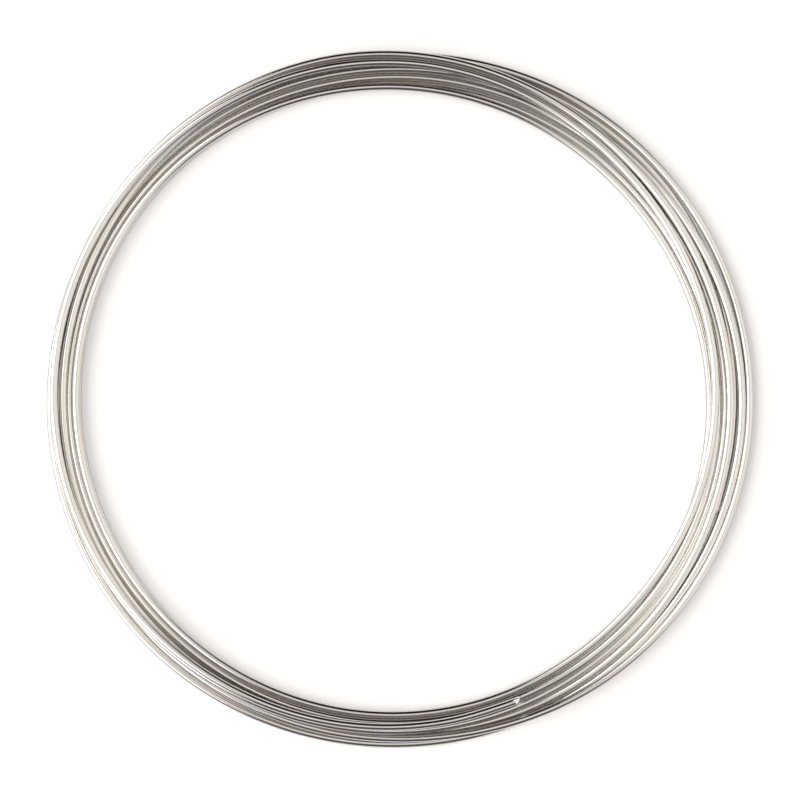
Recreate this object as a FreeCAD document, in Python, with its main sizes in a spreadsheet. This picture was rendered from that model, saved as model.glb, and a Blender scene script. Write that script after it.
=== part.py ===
import FreeCAD, Part
import math
import os
import Sketcher

# Coil of memory wire: one springy round steel wire, wound in loose turns that lie
# beside and on each other.  The turned solid holds the whole heap of turns.  The turns
# show as round ridges on both ends and on the outside, with a groove between each two
# neighbours, and the inside is the plain bore that a peg or a spool passes through.
# Millimetres, +Z up.  The origin is the middle of the coil, on the surface it lies on.

COIL = "wire_coil"
SIZES = [
    ("wire_diameter", "0.7", "the round wire"),
    ("bore_diameter", "54.8", "the clear opening inside the innermost turns"),
    ("turns_across", "5", "turns side by side, from the bore to the outside, a whole number"),
    ("turns_high", "3", "layers of turns, one on the other, a whole number"),
    ("groove_depth", "0.175", "how far the groove between two turns goes in"),
]
SHEET = "Sizes"

# Directions in the section, in degrees, that the ridges of each side point to.
DOWNWARD = 270
OUTWARD = 360
UPWARD = 450
BORE_START = 180
BORE_END = 540

# Points of a sketch element, as the sketcher numbers them, and the sketch's own origin.
FIRST_END = 1
LAST_END = 2
CENTRE = 3
ORIGIN = (-1, 1)


def make_sheet(doc):
    """The driving dimensions: plain numbers with an alias each, and a note beside them."""
    sheet = doc.addObject("Spreadsheet::Sheet", SHEET)
    for row, (alias, value, note) in enumerate(SIZES, start=1):
        sheet.set(f"A{row}", note)
        sheet.set(f"B{row}", value)
        sheet.setAlias(f"B{row}", alias)
    doc.recompute()
    return sheet


def shown_turns(across, layers):
    """Column and layer of each turn that shows: along the bottom, up the outside, back along the top."""
    bottom = [(column, 0) for column in range(across)]
    outside = [(across - 1, layer) for layer in range(1, layers - 1)]
    top = [(column, layers - 1) for column in reversed(range(across))]
    return bottom + outside + top


def groove_direction(turn, following):
    """Which way the groove between two neighbouring turns of the outline faces."""
    if turn[1] != following[1]:
        return OUTWARD
    return DOWNWARD if turn[1] == 0 else UPWARD


def draw_turn(sketch, sheet, turn, start_angle, end_angle):
    """One round turn of the outline: an arc whose centre is bound to its column and layer."""
    column, layer = turn
    radius = sheet.wire_diameter / 2
    centre = FreeCAD.Vector(sheet.bore_diameter / 2 + (2 * column + 1) * radius, (2 * layer + 1) * radius, 0)
    circle = Part.Circle(centre, FreeCAD.Vector(0, 0, 1), radius)
    arc = sketch.addGeometry(Part.ArcOfCircle(circle, math.radians(start_angle), math.radians(end_angle)))
    bind(sketch, Sketcher.Constraint("DistanceX", *ORIGIN, arc, CENTRE, centre.x),
         f"centre_radius_{arc}", f"{SHEET}.bore_diameter / 2 + {SHEET}.wire_diameter * {column + 0.5}")
    bind(sketch, Sketcher.Constraint("DistanceY", *ORIGIN, arc, CENTRE, centre.y),
         f"centre_height_{arc}", f"{SHEET}.wire_diameter * {layer + 0.5}")
    bind(sketch, Sketcher.Constraint("Radius", arc, radius),
         f"wire_radius_{arc}", f"{SHEET}.wire_diameter / 2")
    return arc


def draw_groove(sketch, sheet, arc, following, direction):
    """The narrow floor of the groove between two arcs, at the groove depth below their ridges."""
    start = sketch.getPoint(arc, LAST_END)
    end = sketch.getPoint(following, FIRST_END)
    floor = sketch.addGeometry(Part.LineSegment(start, end))
    sketch.addConstraint(Sketcher.Constraint("Coincident", arc, LAST_END, floor, FIRST_END))
    sketch.addConstraint(Sketcher.Constraint("Coincident", floor, LAST_END, following, FIRST_END))
    name = f"groove_{floor}"
    if direction == OUTWARD:
        sketch.addConstraint(Sketcher.Constraint("Vertical", floor))
        outer = f"{SHEET}.bore_diameter / 2 + {SHEET}.wire_diameter * round({SHEET}.turns_across)"
        bind(sketch, Sketcher.Constraint("DistanceX", *ORIGIN, floor, FIRST_END, start.x),
             name, f"{outer} - {SHEET}.groove_depth")
        return
    sketch.addConstraint(Sketcher.Constraint("Horizontal", floor))
    height = f"{SHEET}.groove_depth"
    if direction == UPWARD:
        height = f"{SHEET}.wire_diameter * round({SHEET}.turns_high) - {SHEET}.groove_depth"
    bind(sketch, Sketcher.Constraint("DistanceY", *ORIGIN, floor, FIRST_END, start.y), name, height)


def draw_bore_wall(sketch, top_arc, bottom_arc):
    """The straight wall of the bore, tangent to the highest and the lowest innermost turn."""
    start = sketch.getPoint(top_arc, LAST_END)
    end = sketch.getPoint(bottom_arc, FIRST_END)
    wall = sketch.addGeometry(Part.LineSegment(start, end))
    sketch.addConstraint(Sketcher.Constraint("Tangent", top_arc, LAST_END, wall, FIRST_END))
    sketch.addConstraint(Sketcher.Constraint("Tangent", wall, LAST_END, bottom_arc, FIRST_END))


def bind(sketch, constraint, name, expression):
    """Add a named dimension and bind it to the sheet."""
    index = sketch.addConstraint(constraint)
    sketch.renameConstraint(index, name)
    sketch.setExpression(f"Constraints.{name}", expression)


def draw_section(sketch, sheet):
    """The coil's section: arcs of the wire's radius joined by groove floors and the bore wall."""
    turns = shown_turns(round(sheet.turns_across), round(sheet.turns_high))
    directions = [groove_direction(turn, following) for turn, following in zip(turns, turns[1:])]
    swing = math.degrees(math.acos(1 - 2 * sheet.groove_depth / sheet.wire_diameter))
    starts = [BORE_START] + [direction - swing for direction in directions]
    ends = [direction + swing for direction in directions] + [BORE_END]
    arcs = [draw_turn(sketch, sheet, *drawn) for drawn in zip(turns, starts, ends)]
    for arc, following, direction in zip(arcs, arcs[1:], directions):
        draw_groove(sketch, sheet, arc, following, direction)
    draw_bore_wall(sketch, arcs[-1], arcs[0])


def origin_plane(body, role):
    """The body's own origin plane of that role."""
    return next(feature for feature in body.Origin.OriginFeatures if feature.Role == role)


def make_coil(doc, sheet):
    """The whole coil, turned about +Z from one section."""
    body = doc.addObject("PartDesign::Body", "WireCoil")
    body.Label = COIL
    section = body.newObject("Sketcher::SketchObject", "CoilSection")
    section.AttachmentSupport = [(origin_plane(body, "XZ_Plane"), "")]
    section.MapMode = "FlatFace"
    draw_section(section, sheet)
    turned = body.newObject("PartDesign::Revolution", "TurnedCoil")
    turned.Profile = section
    turned.ReferenceAxis = (section, ["V_Axis"])
    turned.Angle = 360
    body.Placement = FreeCAD.Placement()
    return body


def check(doc, parts):
    """Stop unless every object computed and every sub-part has a valid shape."""
    for item in doc.Objects:
        if {"Invalid", "Error"} & set(item.State):
            raise RuntimeError(f"{item.Name} did not compute: {item.State}")
    for part in parts:
        if part.Shape.isNull() or not part.Shape.isValid():
            raise RuntimeError(f"{part.Label} has no valid shape")


def main():
    doc = FreeCAD.newDocument("MemoryWireCoil")
    sheet = make_sheet(doc)
    parts = [make_coil(doc, sheet)]
    doc.recompute()
    check(doc, parts)
    os.makedirs("parts", exist_ok=True)
    for part in parts:
        part.Shape.exportStep(f"parts/{part.Label}.step")
        print(part.Label, part.Shape.optimalBoundingBox(), "volume", round(part.Shape.Volume, 2))


main()
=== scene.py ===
import math
import bpy
import numpy as np
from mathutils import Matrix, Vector


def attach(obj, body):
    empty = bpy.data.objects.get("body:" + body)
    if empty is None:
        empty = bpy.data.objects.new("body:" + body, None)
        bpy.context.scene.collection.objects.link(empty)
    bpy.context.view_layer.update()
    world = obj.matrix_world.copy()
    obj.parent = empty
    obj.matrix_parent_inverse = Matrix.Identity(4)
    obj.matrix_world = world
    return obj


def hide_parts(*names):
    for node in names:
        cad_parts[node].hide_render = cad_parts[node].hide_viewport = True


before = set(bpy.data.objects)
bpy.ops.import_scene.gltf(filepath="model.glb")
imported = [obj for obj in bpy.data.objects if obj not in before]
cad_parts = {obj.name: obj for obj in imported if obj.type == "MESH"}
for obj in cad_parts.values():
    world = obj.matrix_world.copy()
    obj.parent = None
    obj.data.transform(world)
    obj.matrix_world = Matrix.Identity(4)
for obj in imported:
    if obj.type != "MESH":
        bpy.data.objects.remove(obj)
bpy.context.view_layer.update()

# One coil of memory wire, seen from straight above.  +X is right and +Y is up in the
# picture.  Lengths are in metres, and most are worked out from the wire's diameter.

NODE = "wire_coil"
BODY = "root"
WIRE = 0.0007
RADIUS = WIRE / 2

# ---------------------------------------------------------------- the lie of the turns
# How far out each turn lies, in wire diameters from the mean radius, at every 45 degrees
# counter-clockwise from the right.  The first row is the turn at the bottom of the heap
# and the last is the one on top, and each row runs on into the next.
MEAN_RADIUS = 41.15 * WIRE
LIE_STEP = 45
LIE = [
    [0.9, 1.4, 0.8, 0.9, 1.3, 1.5, 1.0, 1.0],
    [1.5, 0.65, 0.0, 0.7, 1.2, 1.0, 0.5, 2.0],
    [2.4, 2.15, 1.5, 1.1, 0.6, 0.4, 0.3, 0.5],
    [0.2, -0.1, 1.0, 1.5, 1.4, 0.9, 0.0, -0.3],
    [-0.6, -0.9, -0.8, -0.3, -0.1, -0.3, -0.4, -0.6],
    [-1.0, -1.8, -1.6, -0.5, -0.5, -0.9, -1.0, -1.4],
    [-1.9, -2.6, -2.0, -1.0, -0.9, -1.3, -1.5, -2.1],
    [-1.4, -0.8, 1.1, 1.8, 1.8, 0.8, -0.4, -1.3],
]
START_ANGLE = -20
END_ANGLE = 360 * len(LIE) - 68
COIL_CENTRE = Vector((-0.00003, -0.00013, 0))
POINTS_PER_TURN = 45
SAMPLES_PER_POINT = 5
SIDES = 24

# The turns settle under their weight.  Each step lets them sink a little, draws each
# turn towards its lie, the upper turns more firmly, pushes apart turns that touch, and
# evens the wire out along its length, as its springiness does.
RISE_PER_TURN = 0.9
SETTLE_STEPS = 1500
SINK = 0.01
SINK_SLOWING = 0.6
FIRMNESS = (0.008, 0.06)
EVENING_OUTWARD = 0.8
EVENING_UPWARD = 0.6
PUSH = 0.35

# Then the last overlaps are cleared with only a little evening, and none at the very end.
CLEARING_STEPS = 200
CLEARING_EVENING = 0.1
EVENED_SHARE = 0.8


def lie_at(angles):
    """How far out the wire is meant to lie at each angle run so far: a smooth curve through LIE."""
    knots = np.array([LIE[0][0]] + [offset for row in LIE for offset in row] + [LIE[-1][-1]])
    place = np.clip(angles / LIE_STEP + 1, 0.5, len(knots) - 2.001)
    index = np.clip(np.floor(place).astype(int), 1, len(knots) - 3)
    along = place - index
    before, here, after, beyond = (knots[index + shift] for shift in (-1, 0, 1, 2))
    rise = 3 * along**2 - 2 * along**3
    leaving = (after - before) / 2 * (along**3 - 2 * along**2 + along)
    arriving = (beyond - here) / 2 * (along**3 - along**2)
    return here + (after - here) * rise + leaving + arriving


def push_apart(outward, height, share):
    """Move every two stretches of wire that overlap away from each other, in wire diameters."""
    move_out = np.zeros_like(outward)
    move_up = np.zeros_like(height)
    for turns_below in range(1, len(LIE)):
        back = turns_below * POINTS_PER_TURN
        apart = outward[back:] - outward[:-back]
        above = height[back:] - height[:-back]
        distance = np.maximum(np.hypot(apart, above), 1e-6)
        push = share * np.maximum(1 - distance, 0) / distance
        move_out[back:] += push * apart
        move_out[:-back] -= push * apart
        move_up[back:] += push * above
        move_up[:-back] -= push * above
    return outward + move_out, np.maximum(height + move_up, 0.5)


def even_out(values, share):
    """Draw each value part of the way to the mean of its two neighbours along the wire."""
    result = values.copy()
    result[1:-1] += share * ((values[:-2] + values[2:]) / 2 - values[1:-1])
    return result


def settle(lie):
    """Where the wire comes to rest: how far out and how high, in wire diameters."""
    progress = np.arange(len(lie)) / len(lie)
    firmness = FIRMNESS[0] + (FIRMNESS[1] - FIRMNESS[0]) * progress**2
    outward = lie.copy()
    height = 0.5 + RISE_PER_TURN * len(LIE) * progress
    for step in range(SETTLE_STEPS):
        height -= SINK * (1 - SINK_SLOWING * step / SETTLE_STEPS)
        outward += firmness * (lie - outward)
        outward, height = push_apart(outward, height, PUSH)
        outward = lie + even_out(outward - lie, EVENING_OUTWARD)
        height = even_out(height, EVENING_UPWARD)
    for step in range(CLEARING_STEPS):
        outward, height = push_apart(outward, height, PUSH)
        if step < CLEARING_STEPS * EVENED_SHARE:
            outward = lie + even_out(outward - lie, CLEARING_EVENING)
            height = even_out(height, CLEARING_EVENING)
    return outward, height


def route_points():
    """The control points of the wire's line, from its lower end to its upper end."""
    step = 360 / POINTS_PER_TURN
    angles = np.arange(START_ANGLE, END_ANGLE + step / 2, step)
    outward, height = settle(lie_at(angles))
    radius = MEAN_RADIUS + WIRE * outward
    turned = np.radians(angles)
    right = COIL_CENTRE.x + radius * np.cos(turned)
    back = COIL_CENTRE.y + radius * np.sin(turned)
    return [Vector(point) for point in zip(right, back, WIRE * height)]


def route_line(points):
    """The wire's centre line: points read from a NURBS curve through the route."""
    curve = bpy.data.curves.new("wire_route", "CURVE")
    curve.dimensions = "3D"
    curve.resolution_u = SAMPLES_PER_POINT
    spline = curve.splines.new("NURBS")
    spline.points.add(len(points) - 1)
    for control, point in zip(spline.points, points):
        control.co = (*point, 1)
    spline.order_u = 3
    spline.use_endpoint_u = True
    holder = bpy.data.objects.new("wire_route", curve)
    bpy.context.scene.collection.objects.link(holder)
    mesh = bpy.data.meshes.new_from_object(holder)
    line = [vertex.co.copy() for vertex in mesh.vertices]
    bpy.data.objects.remove(holder)
    bpy.data.meshes.remove(mesh)
    return line


# ---------------------------------------------------------------- the wire itself
# Both ends are nipped with side cutters: the cut runs aslant, leaves a small raised burr
# and falls away steeply beyond it.  Each row: how far from the end, how wide, how thick,
# all in wire diameters or as a share of the round wire.
NIP = [(1.0, 1.0, 1.0), (0.36, 1.0, 1.0), (0.16, 1.0, 1.09), (0.0, 0.9, 0.5)]
CUT_SLANT = -0.75
CLEAR_OF_NIP = 1.2 * NIP[0][0] * WIRE


def ring(centre, along, width, thickness, slant):
    """One ring of points round the wire, sheared along it by slant; a burr stands up, not down."""
    sideways = along.cross(Vector((0, 0, 1))).normalized()
    upward = sideways.cross(along).normalized()
    points = []
    burr = max(0, thickness - 1)
    for side in range(SIDES):
        turned = 2 * math.pi * side / SIDES
        out, up = math.cos(turned), math.sin(turned)
        offset = sideways * (out * width) + upward * (up * thickness + burr) + along * (out * slant)
        points.append(centre + offset * RADIUS)
    return points


def nipped_end(centre, along):
    """Rings from the round wire to its cut face, where along points out of the wire."""
    rings = []
    for distance, width, thickness in NIP:
        slant = CUT_SLANT * min(1, (NIP[0][0] - distance) / (NIP[0][0] - NIP[1][0]))
        rings.append((centre - along * (distance * WIRE), along, width, thickness, slant))
    return rings


def wire_rings(line):
    """Every ring of the wire: a nipped end, the round length and the other nipped end."""
    first_way = (line[0] - line[1]).normalized()
    last_way = (line[-1] - line[-2]).normalized()
    first_end = reversed(nipped_end(line[0], first_way))
    start = [(centre, -way, width, thickness, -slant)
             for centre, way, width, thickness, slant in first_end]
    finish = nipped_end(line[-1], last_way)
    middle = []
    for before, here, after in zip(line, line[1:], line[2:]):
        if min((here - line[0]).length, (here - line[-1]).length) > CLEAR_OF_NIP:
            middle.append((here, (after - before).normalized(), 1.0, 1.0, 0.0))
    return start + middle + finish


def build_wire(line):
    """The wire as one closed mesh, with the place along and around it kept for the material."""
    rings = wire_rings(line)
    points = []
    places = []
    run = 0.0
    for index, (centre, along, width, thickness, slant) in enumerate(rings):
        if index:
            run += (centre - rings[index - 1][0]).length
        points += ring(centre, along, width, thickness, slant)
        for side in range(SIDES):
            turned = 2 * math.pi * side / SIDES
            places.append((run * 1000, math.cos(turned), math.sin(turned)))
    faces = []
    for index in range(len(rings) - 1):
        low = index * SIDES
        for side in range(SIDES):
            following = (side + 1) % SIDES
            high = low + SIDES
            faces.append((low + side, high + side, high + following, low + following))
    faces.append(tuple(range(SIDES)))
    faces.append(tuple(reversed(range(len(points) - SIDES, len(points)))))
    mesh = bpy.data.meshes.new("memory_wire")
    mesh.from_pydata(points, [], faces)
    mesh.update()
    place = mesh.attributes.new("wire_place", "FLOAT_VECTOR", "POINT")
    place.data.foreach_set("vector", [number for spot in places for number in spot])
    flat_faces = SIDES * (len(NIP) - 2)
    side_faces = SIDES * (len(rings) - 1)
    for face in mesh.polygons:
        face.use_smooth = flat_faces <= face.index < side_faces - flat_faces
    wire = bpy.data.objects.new("memory_wire", mesh)
    bpy.context.scene.collection.objects.link(wire)
    return wire


# ---------------------------------------------------------------- materials
def node(tree, kind, **settings):
    """Add a shader node; a setting named after an input is its value, any other is a property."""
    made = tree.nodes.new(kind)
    for name, value in settings.items():
        if name in made.inputs:
            made.inputs[name].default_value = value
        else:
            setattr(made, name, value)
    return made


def new_material(name):
    material = bpy.data.materials.new(name)
    material.use_nodes = True
    tree = material.node_tree
    return material, tree, tree.nodes["Principled BSDF"]


def drawn_steel():
    """Bright drawn wire: fine draw lines along its length and faint warm patches."""
    material, tree, shader = new_material("drawn_steel")
    link = tree.links.new
    place = node(tree, "ShaderNodeAttribute", attribute_name="wire_place")
    stretched = node(tree, "ShaderNodeMapping")
    stretched.inputs["Scale"].default_value = (0.05, 2.2, 2.2)
    link(place.outputs["Vector"], stretched.inputs["Vector"])
    lines = node(tree, "ShaderNodeTexNoise", Scale=1.6, Detail=1.5, Roughness=0.5)
    link(stretched.outputs["Vector"], lines.inputs["Vector"])

    patchy = node(tree, "ShaderNodeMapping")
    patchy.inputs["Scale"].default_value = (0.12, 0.8, 0.8)
    link(place.outputs["Vector"], patchy.inputs["Vector"])
    patches = node(tree, "ShaderNodeTexNoise", Scale=1.0, Detail=3.0, Roughness=0.6)
    link(patchy.outputs["Vector"], patches.inputs["Vector"])

    tint = node(tree, "ShaderNodeValToRGB")
    tint.color_ramp.elements[0].position = 0.3
    tint.color_ramp.elements[0].color = (0.82, 0.815, 0.81, 1)
    tint.color_ramp.elements[1].position = 0.72
    tint.color_ramp.elements[1].color = (0.82, 0.79, 0.75, 1)
    link(patches.outputs["Fac"], tint.inputs["Fac"])

    shade = node(tree, "ShaderNodeValToRGB")
    shade.color_ramp.elements[0].position = 0.28
    shade.color_ramp.elements[0].color = (0.86, 0.86, 0.86, 1)
    shade.color_ramp.elements[1].position = 0.6
    shade.color_ramp.elements[1].color = (1, 1, 1, 1)
    link(lines.outputs["Fac"], shade.inputs["Fac"])
    colour = node(tree, "ShaderNodeMix", data_type="RGBA", blend_type="MULTIPLY")
    colour.inputs["Factor"].default_value = 1.0
    link(tint.outputs["Color"], colour.inputs["A"])
    link(shade.outputs["Color"], colour.inputs["B"])
    link(colour.outputs["Result"], shader.inputs["Base Color"])

    roughness = node(tree, "ShaderNodeMapRange")
    roughness.inputs["To Min"].default_value = 0.13
    roughness.inputs["To Max"].default_value = 0.06
    link(lines.outputs["Fac"], roughness.inputs["Value"])
    link(roughness.outputs["Result"], shader.inputs["Roughness"])

    bump = node(tree, "ShaderNodeBump", Strength=0.05, Distance=0.00001)
    link(lines.outputs["Fac"], bump.inputs["Height"])
    link(bump.outputs["Normal"], shader.inputs["Normal"])
    shader.inputs["Metallic"].default_value = 1.0
    return material


def white_floor():
    """Plain white paper: it shows white to the camera and keeps the coil's shadow."""
    material, tree, shader = new_material("white_floor")
    shader.inputs["Base Color"].default_value = (0.86, 0.86, 0.86, 1)
    shader.inputs["Roughness"].default_value = 0.8
    shader.inputs["Specular IOR Level"].default_value = 0.1
    light_path = node(tree, "ShaderNodeLightPath")
    lift = node(tree, "ShaderNodeMath", operation="MULTIPLY")
    tree.links.new(light_path.outputs["Is Camera Ray"], lift.inputs[0])
    lift.inputs[1].default_value = FLOOR_LIFT
    shader.inputs["Emission Color"].default_value = (1, 1, 1, 1)
    tree.links.new(lift.outputs[0], shader.inputs["Emission Strength"])
    return material


# ---------------------------------------------------------------- stage, lights and camera
FLOOR_SIZE = 3.0
FLOOR_LIFT = 0.24
BOX_DISTANCE = 0.6
BOX_WIDTH = 1.2
BOX_HEIGHT = 0.56
BOX_ELEVATION = 42
LEFT_POWER = 4.4
RIGHT_POWER = 0.4
FRONT_COLOUR = (0.1, 0.1, 0.11, 1)
BACK_COLOUR = (0.018, 0.019, 0.024, 1)
FRONT_TO_BACK = (-0.5, 0.1)
PANEL_COLOUR = (0.88, 0.825, 0.77, 1)
PANEL_HALF_WIDTH = (0.16, 0.5)
PANEL_FLARE = 0.35
CAMERA_HEIGHT = 0.294
CAMERA_OFFSET = (0.00014, -0.00017)
FRAME_WIDTH = 0.06995
SENSOR = 36.0


def add_floor():
    half = FLOOR_SIZE / 2
    mesh = bpy.data.meshes.new("floor")
    corners = [(-half, -half, 0), (half, -half, 0), (half, half, 0), (-half, half, 0)]
    mesh.from_pydata(corners, [], [(0, 1, 2, 3)])
    floor = bpy.data.objects.new("floor", mesh)
    floor.data.materials.append(white_floor())
    bpy.context.scene.collection.objects.link(floor)


def add_softbox(name, azimuth, power, colour):
    """A large softbox that looks at the coil from that side."""
    lamp = bpy.data.lights.new(name, "AREA")
    lamp.shape = "RECTANGLE"
    lamp.size = BOX_WIDTH
    lamp.size_y = BOX_HEIGHT
    lamp.energy = power
    lamp.color = colour
    box = bpy.data.objects.new(name, lamp)
    turned, raised = math.radians(azimuth), math.radians(BOX_ELEVATION)
    level = BOX_DISTANCE * math.cos(raised)
    height = BOX_DISTANCE * math.sin(raised)
    box.location = (level * math.cos(turned), level * math.sin(turned), height)
    box.rotation_euler = (-box.location).to_track_quat("-Z", "Y").to_euler()
    bpy.context.scene.collection.objects.link(box)


def add_world():
    """A dim studio, paler in front, with a pale warm panel arching over from left to right."""
    world = bpy.data.worlds.new("studio")
    bpy.context.scene.world = world
    world.use_nodes = True
    tree = world.node_tree
    direction = node(tree, "ShaderNodeTexCoord")
    split = node(tree, "ShaderNodeSeparateXYZ")
    tree.links.new(direction.outputs["Generated"], split.inputs["Vector"])
    aside = node(tree, "ShaderNodeMath", operation="ABSOLUTE")
    tree.links.new(split.outputs["Y"], aside.inputs[0])
    across = node(tree, "ShaderNodeMath", operation="ABSOLUTE")
    tree.links.new(split.outputs["X"], across.inputs[0])
    flared = node(tree, "ShaderNodeMath", operation="MULTIPLY_ADD")
    tree.links.new(across.outputs[0], flared.inputs[0])
    flared.inputs[1].default_value = -PANEL_FLARE
    tree.links.new(aside.outputs[0], flared.inputs[2])
    panel = node(tree, "ShaderNodeMapRange", interpolation_type="SMOOTHSTEP")
    panel.inputs["From Min"].default_value = PANEL_HALF_WIDTH[0]
    panel.inputs["From Max"].default_value = PANEL_HALF_WIDTH[1]
    tree.links.new(flared.outputs[0], panel.inputs["Value"])
    depth = node(tree, "ShaderNodeMapRange", interpolation_type="SMOOTHSTEP")
    depth.inputs["From Min"].default_value = FRONT_TO_BACK[0]
    depth.inputs["From Max"].default_value = FRONT_TO_BACK[1]
    tree.links.new(split.outputs["Y"], depth.inputs["Value"])
    room = node(tree, "ShaderNodeMix", data_type="RGBA")
    room.inputs["A"].default_value = FRONT_COLOUR
    room.inputs["B"].default_value = BACK_COLOUR
    tree.links.new(depth.outputs["Result"], room.inputs["Factor"])
    glow = node(tree, "ShaderNodeMix", data_type="RGBA")
    glow.inputs["A"].default_value = PANEL_COLOUR
    tree.links.new(room.outputs["Result"], glow.inputs["B"])
    tree.links.new(panel.outputs["Result"], glow.inputs["Factor"])
    tree.links.new(glow.outputs["Result"], tree.nodes["Background"].inputs["Color"])


def add_camera():
    lens = bpy.data.cameras.new("camera")
    lens.sensor_width = SENSOR
    lens.lens = SENSOR * CAMERA_HEIGHT / FRAME_WIDTH
    lens.clip_start = 0.01
    camera = bpy.data.objects.new("camera", lens)
    camera.location = (*CAMERA_OFFSET, CAMERA_HEIGHT)
    bpy.context.scene.collection.objects.link(camera)
    bpy.context.scene.camera = camera


add_camera()
line = route_line(route_points())
wire = build_wire(line)
wire.data.materials.append(drawn_steel())
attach(wire, BODY)
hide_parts(NODE)

add_floor()
add_softbox("left_softbox", 180, LEFT_POWER, (1.0, 0.985, 0.965))
add_softbox("right_softbox", 0, RIGHT_POWER, (0.95, 0.98, 1.0))
add_world()
bpy.context.scene.view_settings.view_transform = "Standard"
